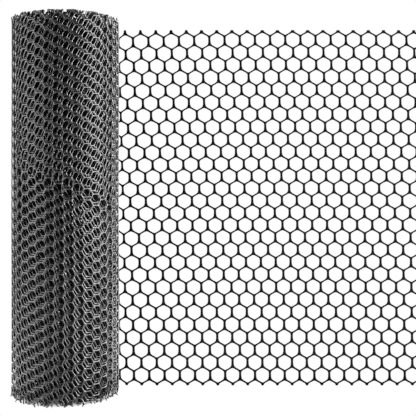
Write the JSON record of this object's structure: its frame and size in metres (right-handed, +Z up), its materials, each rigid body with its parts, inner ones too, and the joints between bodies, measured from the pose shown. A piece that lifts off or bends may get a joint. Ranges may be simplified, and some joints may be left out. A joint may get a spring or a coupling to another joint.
{
  "type": "roll of plastic chicken wire with a loose end drawn out",
  "caption": "Roll of black plastic hexagon netting that stands on end, with a flat length of the net drawn out to one side.",
  "frame": {"origin": "middle of the footprint, on the surface that the roll and its loose end stand on", "axes": "+X from the roll along the loose end, +Y away from the viewer to the back, +Z up along the roll's axis"},
  "size_m": [0.4572, 0.1146, 0.402],
  "materials": {
    "wound_net": "semi-gloss black polyethylene strands",
    "flat_net": "satin black polyethylene strands"
  },
  "bodies": {
    "root": {"roll": "wound_net", "loose_end": "flat_net"}
  },
  "joints": []
}
